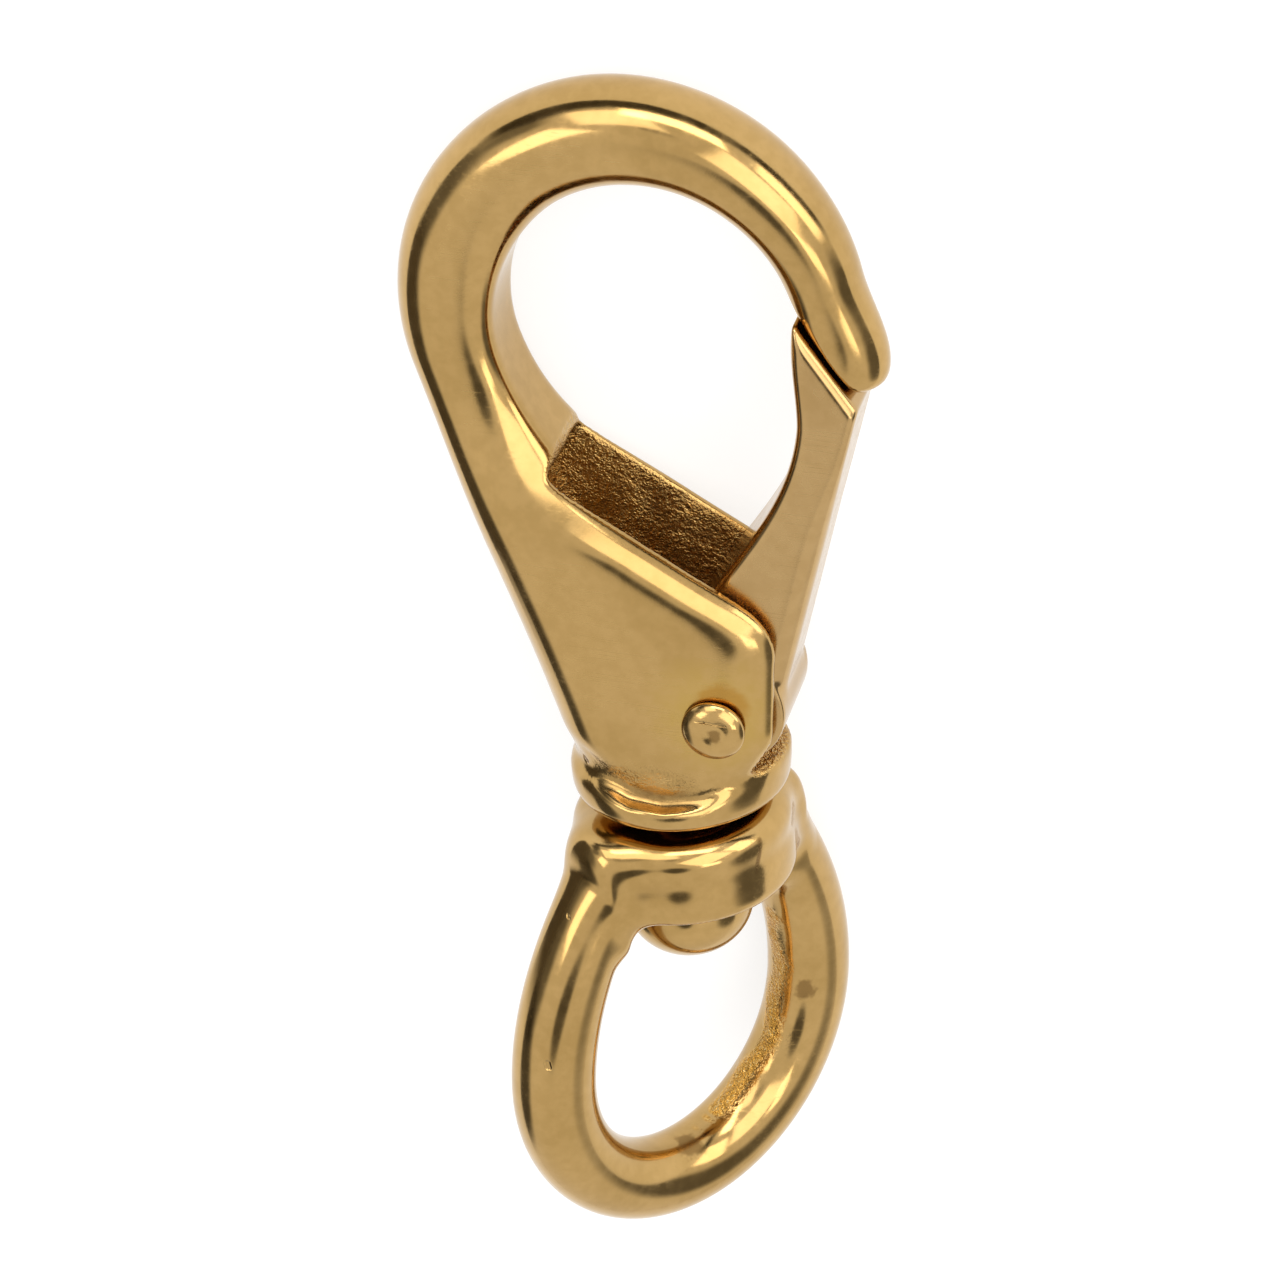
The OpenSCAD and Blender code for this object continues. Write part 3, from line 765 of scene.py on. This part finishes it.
def swivel_eye(material):
    """Eye and ring in the eye's own plane, then turned on the swivel into place."""
    block = Block((-17, -40.5, -9.6), (17, 1.0, 9.6), fine(0.24, 0.4))
    outer, inner = eye_pairs(40)
    half = np.linalg.norm(outer - inner, axis=1) / 2
    top = ease((outer[:, 1] + 8) / 5)
    bar, under_bar, right_shoulder, left_shoulder = EYE_BAR / 2, 1.4, 1.6, 2.9
    shoulder = mix(right_shoulder, left_shoulder, ease(-outer[:, 0] / 3))
    loop = block.solid(sections(
        outer, inner, bar, mix(half, shoulder, top), mix(bar, shoulder, top),
        mix(half, under_bar, top), mix(bar, under_bar, top)), closed=True)
    middle = np.array([0, -RING_MIDDLE, 0])
    set_turn = turn_about("Z", LOOP_SET) @ turn_about("Y", EYE_TURN)
    ring_axis = set_turn.T @ [0, 1, 0]
    field = join(loop, block.turned(ring_outline(), ring_axis, RING_MIDDLE), 2.2)
    radius, down = block.about(ring_axis, RING_MIDDLE)
    past_ring = 2.4
    bore = np.maximum(radius - SHANK_R - SWIVEL_CLEARANCE, down - RING_FOOT - past_ring)
    field = cut_off(field, bore, 0.3)

    seam_reach, seam_wander, seam_top, seam_foot = 1.6, 0.3, -7, -36
    opening = EYE_W / 2 - EYE_BAR + seam_reach
    inside = (block.x > 0) & (np.hypot(block.x, block.y + EYE_WIDE) < opening)
    width = np.clip(0.75 + 0.45 * block.grit(1.1, 8), 0.3, 1.4)
    seam = np.exp(-((block.z + seam_wander * np.sin(block.y)) / width) ** 2) * inside
    seam = seam * (block.y < seam_top) * (block.y > seam_foot) * ease((block.x + 0.5) / 2)
    field = field - seam * (0.10 + 0.14 * block.grit(0.45, 3))
    field = blur(field, 0.8) + SKIN_IN
    points, quads, normals = clean_skin(block, field)
    masks = skin_masks(block, field, points, normals, seam=seam)
    masks["ground_face"] = 0 * masks["seam"]
    lean = turn_about("Z", SWIVEL_LEAN)
    turn = lean @ turn_about("Z", EYE_TILT) @ set_turn
    placed = (points - middle) @ turn.T + lean @ middle
    piece("eye_casting", placed, quads, normals @ turn.T, masks, "eye", "swivel_eye",
          material)


# Materials. Marks are placed in the hook's own frame, in millimetres, through cast_place.

def new_material(name):
    """Material with its node tree and its shader."""
    material = bpy.data.materials.new(name)
    material.use_nodes = True
    return material, material.node_tree, material.node_tree.nodes["Principled BSDF"]


def socket(group, name, kind, way, value=None):
    new = group.interface.new_socket(name=name, in_out=way, socket_type="NodeSocket" + kind)
    if value is not None:
        new.default_value = value


def node(tree, kind, inputs=(), **values):
    """New node with its properties set, and its inputs set or linked by name or number."""
    made = tree.nodes.new("ShaderNode" + kind)
    for key, value in values.items():
        setattr(made, key, value)
    for key, value in dict(inputs).items():
        if isinstance(value, bpy.types.NodeSocket):
            tree.links.new(value, made.inputs[key])
        else:
            made.inputs[key].default_value = value
    return made


def maths(tree, operation, a, b=0.0, c=0.0):
    return node(tree, "Math", {0: a, 1: b, 2: c}, operation=operation).outputs[0]


def ramp(tree, value, low, high, to_low=0.0, to_high=1.0):
    """Smooth step of a value between two levels."""
    made = node(tree, "MapRange", {
        "Value": value, "From Min": low, "From Max": high, "To Min": to_low, "To Max": to_high,
    }, interpolation_type="SMOOTHSTEP")
    return made.outputs["Result"]


def tint(tree, factor, a, b):
    made = node(tree, "Mix", {"Factor": factor}, data_type="RGBA")
    for name, value in (("A", a), ("B", b)):
        place = next(i for i in made.inputs if i.name == name and i.type == "RGBA")
        if isinstance(value, bpy.types.NodeSocket):
            tree.links.new(value, place)
        else:
            place.default_value = (*value, 1)
    return next(o for o in made.outputs if o.type == "RGBA")


def noise(tree, vector, scale, detail=3.0, roughness=0.55):
    return node(tree, "TexNoise", {
        "Vector": vector, "Scale": scale, "Detail": detail, "Roughness": roughness,
    }).outputs["Fac"]


def new_group(name, inputs, outputs):
    group = bpy.data.node_groups.new(name, "ShaderNodeTree")
    for title, kind, value in inputs:
        socket(group, title, kind, "INPUT", value)
    for title, kind in outputs:
        socket(group, title, kind, "OUTPUT")
    into, out = group.nodes.new("NodeGroupInput"), group.nodes.new("NodeGroupOutput")
    return group, into.outputs, out.inputs


def cast_grain_group():
    """Fine speckle of polished cast bronze, with patches and a slow drift of its tone."""
    group, into, out = new_group("cast_grain", [("Vector", "Vector", None)], [
        ("Speckle", "Float"), ("Patch", "Float"), ("Drift", "Float")])
    vector = into["Vector"]
    speckle = noise(group, vector, 6.5, 1, 0.7)
    patch = noise(group, vector, 0.9, 2, 0.6)
    drift = noise(group, vector, 0.14, 0)
    group.links.new(speckle, out["Speckle"])
    group.links.new(ramp(group, patch, 0.3, 0.7), out["Patch"])
    group.links.new(ramp(group, drift, 0.35, 0.65), out["Drift"])
    return group


def sand_group():
    """Grains and hollows that a sand mould leaves, and a mask of the tips of the grains, which are
    painted bright as glints.
    """
    group, into, out = new_group("sand_cast_skin", [("Vector", "Vector", None)], [
        ("Height", "Float"), ("Tips", "Float")])
    vector = into["Vector"]
    group.links.new(noise(group, vector, 3.0, 2, 0.7), out["Height"])
    group.links.new(ramp(group, noise(group, vector, 4.2, 2, 0.7), 0.54, 0.66), out["Tips"])
    return group


def fine_lines_group():
    """Fine lines that polishing and handling leave, drawn out along the hook's X axis."""
    group, into, out = new_group("fine_lines", [
        ("Vector", "Vector", None), ("Turn", "Vector", None), ("Density", "Float", 0.2)],
        [("Lines", "Float")])
    turned = node(group, "Mapping", {
        "Vector": into["Vector"], "Rotation": into["Turn"], "Scale": (0.16, 5.5, 5.5),
    }).outputs["Vector"]
    strands = noise(group, turned, 1.0, 1, 0.6)
    lines = ramp(group, maths(group, "ADD", strands, into["Density"]), 0.8, 0.87)
    group.links.new(lines, out["Lines"])
    return group


def spot_group():
    """Round mark at a place in millimetres; Ragged draws its rim in."""
    group, into, out = new_group("placed_spot", [
        ("Vector", "Vector", None), ("Centre", "Vector", None), ("Radius", "Float", 1.0),
        ("Ragged", "Float", 0.2), ("Softness", "Float", 0.5)], [("Mask", "Float")])
    gap = node(group, "VectorMath", {0: into["Vector"], 1: into["Centre"]}, operation="DISTANCE")
    ragged = maths(group, "ADD", gap.outputs["Value"], into["Ragged"])
    inner = maths(group, "MULTIPLY", into["Radius"], maths(group, "SUBTRACT", 1, into["Softness"]))
    group.links.new(ramp(group, ragged, into["Radius"], inner), out["Mask"])
    return group


def stroke_group():
    """Straight mark between two places in millimetres."""
    group, into, out = new_group("placed_stroke", [
        ("Vector", "Vector", None), ("Start", "Vector", None), ("End", "Vector", None),
        ("Width", "Float", 0.2)], [("Mask", "Float")])

    def vector_maths(operation, a, b, result="Vector"):
        return node(group, "VectorMath", {0: a, 1: b}, operation=operation).outputs[result]

    way = vector_maths("SUBTRACT", into["End"], into["Start"])
    out_of_start = vector_maths("SUBTRACT", into["Vector"], into["Start"])
    part = maths(group, "DIVIDE", vector_maths("DOT_PRODUCT", out_of_start, way, "Value"),
                 vector_maths("DOT_PRODUCT", way, way, "Value"))
    part = node(group, "Clamp", {"Value": part}).outputs["Result"]
    nearest = node(group, "VectorMath", {0: way, "Scale": part}, operation="SCALE").outputs["Vector"]
    gap = vector_maths("DISTANCE", out_of_start, nearest, "Value")
    group.links.new(ramp(group, gap, into["Width"], maths(group, "MULTIPLY", into["Width"], 0.3)),
                    out["Mask"])
    return group


GOLD_LIGHT = (0.535, 0.348, 0.133)
GOLD_DEEP = (0.45, 0.286, 0.10)
GATE_LIGHT = (0.53, 0.352, 0.155)
GATE_DEEP = (0.455, 0.293, 0.12)
# Dark brown of the hollows, spots and streaks; in the hollows it is tarnish and painted shade.
DARK_BROWN = (0.235, 0.135, 0.045)
SAND_BROWN = (0.52, 0.29, 0.08)
# Grain tips, painted bright as glints.
SAND_GLINT = (0.80, 0.55, 0.21)
SEAM_ORANGE = (0.64, 0.35, 0.07)
HEAT_YELLOW = (0.57, 0.385, 0.085)
HEAT_ORANGE = (0.46, 0.24, 0.045)
HEAT_STEP = Vector((0.5, 0.75, 0))
BRIGHT_WIRE = (0.46, 0.45, 0.43)
DULL_WIRE = (0.30, 0.28, 0.25)

# Heights of the finest marks, in metres.
GRAIN_RELIEF = 0.00002
SAND_RELIEF = 0.0006
NICK_RELIEF = 0.00012


def bronze(name, groups, smooth, satin, dark_spots=(), nicks=(), streaks=(), heat=None, glint_at=None,
           sandy=True, deep=GOLD_DEEP, light=GOLD_LIGHT):
    """Polished cast bronze. Dark spots are (centre, radius), nicks and streaks (start, end, width).
    """
    material, tree, shader = new_material(name)
    shader.inputs["Metallic"].default_value = 1.0

    def attribute(title, output="Fac"):
        return node(tree, "Attribute", attribute_name=title).outputs[output]

    def grouped(title, output, **inputs):
        made = node(tree, "Group", node_tree=groups[title])
        for key, value in inputs.items():
            if isinstance(value, bpy.types.NodeSocket):
                tree.links.new(value, made.inputs[key])
            else:
                made.inputs[key].default_value = value
        return made.outputs[output]

    place = attribute("cast_place", "Vector")
    sand, seam, patch_cast = attribute("sand_cast"), attribute("seam"), attribute("as_cast")
    crevice, ground = attribute("crevice"), attribute("ground_face")
    patch = grouped("cast_grain", "Patch", Vector=place)
    drift = grouped("cast_grain", "Drift", Vector=place)
    speckle = grouped("cast_grain", "Speckle", Vector=place)
    rough_skin = maths(tree, "MAXIMUM", sand, maths(tree, "MULTIPLY", seam, 0.8))
    lines = grouped("fine_lines", "Lines", Vector=place, Turn=(0.1, 0.2, 1.1),
                    Density=maths(tree, "MULTIPLY", drift, 0.22))

    # Colour: tone, heat tint, tarnish and painted shade in the hollows, dark spots and streaks,
    # painted glints on the sand, and the brown and orange of what was left as cast.
    tone = maths(tree, "MULTIPLY_ADD", patch, 0.5, maths(tree, "MULTIPLY", drift, 0.5))
    colour = tint(tree, tone, deep, light)
    if heat:
        ragged = maths(tree, "MULTIPLY", patch, 1.2)
        around = grouped("placed_spot", "Mask", Vector=place, Centre=heat, Radius=6.5,
                         Ragged=ragged, Softness=0.8)
        near = grouped("placed_spot", "Mask", Vector=place, Centre=Vector(heat) + HEAT_STEP,
                       Radius=2.5, Ragged=maths(tree, "MULTIPLY", patch, 0.3), Softness=0.35)
        colour = tint(tree, maths(tree, "MULTIPLY", around, 0.5), colour, HEAT_YELLOW)
        colour = tint(tree, maths(tree, "MULTIPLY", near, 0.75), colour, HEAT_ORANGE)
    # Hollows are painted darker, as tarnish and painted shade.
    darkening = maths(tree, "MULTIPLY", crevice, ramp(tree, patch, 0.0, 1.0, 0.55, 1.0))
    for centre, radius in dark_spots:
        spot = grouped("placed_spot", "Mask", Vector=place, Centre=centre, Radius=radius,
                       Ragged=maths(tree, "MULTIPLY", patch, radius * 0.4), Softness=0.4)
        darkening = maths(tree, "MAXIMUM", darkening, maths(tree, "MULTIPLY", spot, 0.8))
    for start, end, width in streaks:
        stroke = grouped("placed_stroke", "Mask", Vector=place, Start=start, End=end, Width=width)
        darkening = maths(tree, "MAXIMUM", darkening, maths(tree, "MULTIPLY", stroke, 0.9))
    colour = tint(tree, darkening, colour, DARK_BROWN)
    if sandy:
        # Grain tips are painted bright as glints, on the sand and on the seam.
        tips = grouped("sand_cast_skin", "Tips", Vector=place)
        # A placed spot at the channel's end brightens more grain tips there, as painted glints.
        if glint_at:
            bright = grouped("placed_spot", "Mask", Vector=place, Centre=glint_at, Radius=6.0,
                             Ragged=maths(tree, "MULTIPLY", patch, 2.5), Softness=0.7)
            tips = maths(tree, "MAXIMUM", tips, maths(tree, "MULTIPLY", bright, 0.75))
        colour = tint(tree, sand, colour, tint(tree, tips, SAND_BROWN, SAND_GLINT))
        seam_tone = tint(tree, tips, SEAM_ORANGE, SAND_GLINT)
        colour = tint(tree, ramp(tree, seam, 0.1, 0.6), colour, seam_tone)
    tree.links.new(colour, shader.inputs["Base Color"])

    # Roughness: each mask adds its share.
    rough = smooth
    for mask, added in ((patch, 0.05), (ground, satin - smooth), (lines, 0.08), (darkening, 0.12),
                        (patch_cast, 0.12), (rough_skin, 0.16)):
        rough = maths(tree, "MULTIPLY_ADD", mask, added, rough)
    tree.links.new(rough, shader.inputs["Roughness"])

    # Relief: strength, height, pattern, and whether it is sunk.
    relief = [(maths(tree, "MULTIPLY_ADD", ground, 0.12, 0.05), GRAIN_RELIEF, speckle, False)]
    if sandy:
        strength = maths(tree, "MAXIMUM", rough_skin, maths(tree, "MULTIPLY", patch_cast, 0.4))
        height = grouped("sand_cast_skin", "Height", Vector=place)
        relief.append((strength, SAND_RELIEF, height, False))
    for start, end, width in nicks:
        stroke = grouped("placed_stroke", "Mask", Vector=place, Start=start, End=end, Width=width)
        relief.append((1.0, NICK_RELIEF, stroke, True))
    last = None
    for strength, distance, height, sunk in relief:
        inputs = {"Strength": strength, "Distance": distance, "Height": height}
        if last:
            inputs["Normal"] = last.outputs["Normal"]
        last = node(tree, "Bump", inputs, invert=sunk)
    tree.links.new(last.outputs["Normal"], shader.inputs["Normal"])
    return material


def spring_steel():
    """Bright drawn wire, with a fine grain and dull spots."""
    material, tree, shader = new_material("spring_steel")
    shader.inputs["Metallic"].default_value = 1.0
    place = node(tree, "Attribute", attribute_name="cast_place").outputs["Vector"]
    grain = noise(tree, place, 2.6, 2)
    spots = ramp(tree, noise(tree, place, 0.52, 4, 0.65), 0.42, 0.66)
    tree.links.new(tint(tree, spots, BRIGHT_WIRE, DULL_WIRE), shader.inputs["Base Color"])
    tree.links.new(maths(tree, "MULTIPLY_ADD", spots, 0.22, 0.24), shader.inputs["Roughness"])
    bump = node(tree, "Bump", {"Strength": 0.4, "Distance": GRAIN_RELIEF, "Height": grain})
    tree.links.new(bump.outputs["Normal"], shader.inputs["Normal"])
    return material


# Studio.

def white_floor():
    """Pale floor that shows white to the camera and in the metal, under the hook's own shadow."""
    mesh = bpy.data.meshes.new("floor")
    r = 3.0
    mesh.from_pydata([(-r, -r, 0), (r, -r, 0), (r, r, 0), (-r, r, 0)], [], [(0, 1, 2, 3)])
    floor = in_scene("floor", mesh)
    material, tree, shader = new_material("floor_white")
    link = tree.links.new
    shader.inputs["Roughness"].default_value = 0.9
    shader.inputs["Specular IOR Level"].default_value = 0.0
    paper = noise(tree, node(tree, "TexCoord").outputs["Object"], 900, 3)
    link(tint(tree, paper, (0.34, 0.34, 0.34), (0.36, 0.36, 0.36)), shader.inputs["Base Color"])
    path = node(tree, "LightPath").outputs
    seen = maths(tree, "MAXIMUM", path["Is Camera Ray"], path["Is Glossy Ray"])
    seen = maths(tree, "MAXIMUM", seen, path["Is Transmission Ray"])
    glow = node(tree, "Emission", {"Strength": maths(tree, "MULTIPLY", seen, 0.74)})
    both = node(tree, "AddShader")
    link(shader.outputs["BSDF"], both.inputs[0])
    link(glow.outputs["Emission"], both.inputs[1])
    link(both.outputs["Shader"], tree.nodes["Material Output"].inputs["Surface"])
    mesh.materials.append(material)


def compass(azimuth, elevation):
    a, e = math.radians(azimuth), math.radians(elevation)
    return Vector((math.cos(a) * math.cos(e), math.sin(a) * math.cos(e), math.sin(e)))


def studio_world(level, screens):
    """Even studio light, with soft dark screens: (azimuth, elevation, half width, softness, dim)."""
    world = bpy.data.worlds.new("studio")
    bpy.context.scene.world = world
    world.use_nodes = True
    tree = world.node_tree
    way = node(tree, "TexCoord").outputs["Generated"]
    strength = level
    for azimuth, elevation, half_width, softness, dim in screens:
        facing = node(tree, "VectorMath", {0: way, 1: compass(azimuth, elevation)},
                      operation="DOT_PRODUCT").outputs["Value"]
        rim = math.cos(math.radians(half_width + softness))
        shade = ramp(tree, facing, rim, math.cos(math.radians(half_width)), 1.0, dim)
        strength = maths(tree, "MULTIPLY", shade, strength)
    background = tree.nodes["Background"]
    background.inputs["Color"].default_value = (1.0, 0.98, 0.95, 1)
    tree.links.new(strength, background.inputs["Strength"])


def softbox(name, azimuth, elevation, distance, size, radiance, target=(0, 0, 0.01)):
    """Rectangular lamp in a direction from the target, set by the radiance of its face."""
    light = bpy.data.lights.new(name, "AREA")
    light.shape = "RECTANGLE"
    light.size, light.size_y = size
    light.energy = radiance * math.pi * size[0] * size[1]
    light.color = (1.0, 0.97, 0.92)
    obj = in_scene(name, light)
    obj.location = Vector(target) + compass(azimuth, elevation) * distance
    obj.rotation_euler = (-compass(azimuth, elevation)).to_track_quat("-Z", "Y").to_euler()


def dark_card(name, place, facing, size):
    """Dark card standing beside the hook, seen only in its reflections, with faded rims."""
    across = compass(facing + 90, 0) * size[0] / 2
    foot = Vector((*place, 0.0))
    top = Vector((0, 0, size[1]))
    corners = [foot - across, foot + across, foot + across + top, foot - across + top]
    mesh = bpy.data.meshes.new(name)
    mesh.from_pydata([tuple(c) for c in corners], [], [(0, 1, 2, 3)])
    card = in_scene(name, mesh)
    card.visible_camera = False
    card.visible_diffuse = False
    card.visible_shadow = False
    material, tree, shader = new_material(name)
    felt = noise(tree, node(tree, "TexCoord").outputs["Object"], 1500, 2)
    tree.links.new(tint(tree, felt, (0.06, 0.055, 0.05), (0.10, 0.09, 0.08)),
                   shader.inputs["Base Color"])
    shader.inputs["Roughness"].default_value = 0.9
    spread = node(tree, "SeparateXYZ", {0: node(tree, "TexCoord").outputs["Generated"]}).outputs
    off_middle = maths(tree, "ABSOLUTE", maths(tree, "SUBTRACT", spread["X"], 0.5))
    faded = maths(tree, "MULTIPLY", ramp(tree, off_middle, 0.5, 0.28),
                  ramp(tree, spread["Z"], 1.0, 0.6))
    tree.links.new(faded, shader.inputs["Alpha"])
    mesh.materials.append(material)


# Camera: the photograph's view, from the right and above the hook's face, in degrees. The focal
# length, the aim and the width are in pixels of the photograph, and the scale in pixels per mm.
VIEW_AZIMUTH = 14.5
VIEW_LIFT = 32.0
VIEW_FOCAL = 4500.0
VIEW_SCALE = 13.9
VIEW_AIM = (681.0, 780.0)
PHOTO = 1288.0
SENSOR = 36.0


def photo_camera():
    a, e = math.radians(VIEW_AZIMUTH), math.radians(VIEW_LIFT)
    back = np.array([math.sin(a) * math.cos(e), math.sin(e), math.cos(a) * math.cos(e)])
    right = np.array([math.cos(a), 0, -math.sin(a)])
    up = np.array([-math.sin(a) * math.sin(e), math.cos(e), -math.cos(a) * math.sin(e)])
    distance = VIEW_FOCAL / VIEW_SCALE
    x = (VIEW_AIM[0] - PHOTO / 2) / VIEW_SCALE
    y = (PHOTO / 2 - VIEW_AIM[1]) / VIEW_SCALE
    centre = distance * back - x * right - y * up
    axes = TO_ROW @ np.stack([right, up, back], axis=1)
    camera = bpy.data.cameras.new("camera")
    camera.sensor_width = SENSOR
    camera.lens = VIEW_FOCAL / PHOTO * SENSOR
    camera.clip_start = 0.01
    obj = in_scene("camera", camera)
    pose = Matrix(axes.tolist()).to_4x4()
    pose.translation = Vector(to_row(centre))
    obj.matrix_world = pose
    bpy.context.scene.camera = obj


groups = {
    "cast_grain": cast_grain_group(), "sand_cast_skin": sand_group(),
    "fine_lines": fine_lines_group(), "placed_spot": spot_group(),
    "placed_stroke": stroke_group(),
}
# The casting's channel end gets a spot of painted glints on its sand.
hook_casting(bronze("bronze_casting", groups, 0.11, 0.21, heat=(3.9, 9.9, 6.3),
                    glint_at=(*cheek_edge(CHANNEL_START)[0], -1.5), dark_spots=[((-5.85, 3.6, 4.2), 0.55)],
                    nicks=[((-5.9, 3.6, 4.2), (-5.8, 3.55, 4.25), 0.4)]))
gate_lever(bronze("bronze_gate", groups, 0.13, 0.23, sandy=False, deep=GATE_DEEP,
                  light=GATE_LIGHT))
rivet_heads(bronze(
    "bronze_rivet", groups, 0.1, 0.13, sandy=False, dark_spots=[((4.15, 9.1, 7.4), 0.85)],
    nicks=[((2.4, 9.9, 7.0), (3.4, 10.1, 7.4), 0.12), ((3.4, 10.1, 7.4), (4.9, 10.0, 7.3), 0.12)],
))
swivel_eye(bronze(
    "bronze_eye", groups, 0.11, 0.13,
    dark_spots=[((8.1, -21.7, -6.3), 1.3), ((1.1, -32.3, 1.0), 1.6)],
    streaks=[((6.69, -1.5, 3.9), (6.85, -3.8, 4.6), 0.32)],
    nicks=[((-6.3, -6.6, 9.0), (-5.6, -7.3, 9.0), 0.18),
           ((-6.75, -17.7, 12.3), (-6.65, -18.1, 12.3), 0.3)],
))
torsion_spring(spring_steel())

white_floor()
studio_world(0.98, [
    (178, 10, 12, 16, 0.2), (136, 6, 7, 9, 0.15), (148, 20, 5, 8, 0.3), (-16, 12, 13, 14, 0.2),
    (210, 5, 16, 12, 0.12), (-92, 82, 8, 8, 0.14), (104, 47, 3, 5, 0.55),
])
softbox("far_box", 86, 18, 0.45, (0.3, 0.12), 4.2)
softbox("left_box", 152, 46, 0.5, (0.18, 0.16), 2.4)
softbox("top_left_box", 112, 30, 0.5, (0.24, 0.24), 1.7)
softbox("right_box", 34, 14, 0.5, (0.3, 0.2), 2.4)
softbox("upper_box", 48, 50, 0.5, (0.34, 0.38), 1.75)
softbox("small_box", 0, 56, 0.5, (0.1, 0.16), 2.4)
dark_card("left_card", (-0.064, 0.0), 33, (0.09, 0.036))
dark_card("far_left_card", (-0.06, 0.098), 122, (0.09, 0.03))
dark_card("far_middle_card", (0.0, 0.115), 90, (0.11, 0.027))
dark_card("far_right_card", (0.07, 0.085), 45, (0.1, 0.022))
photo_camera()
bpy.context.scene.view_settings.view_transform = "Standard"
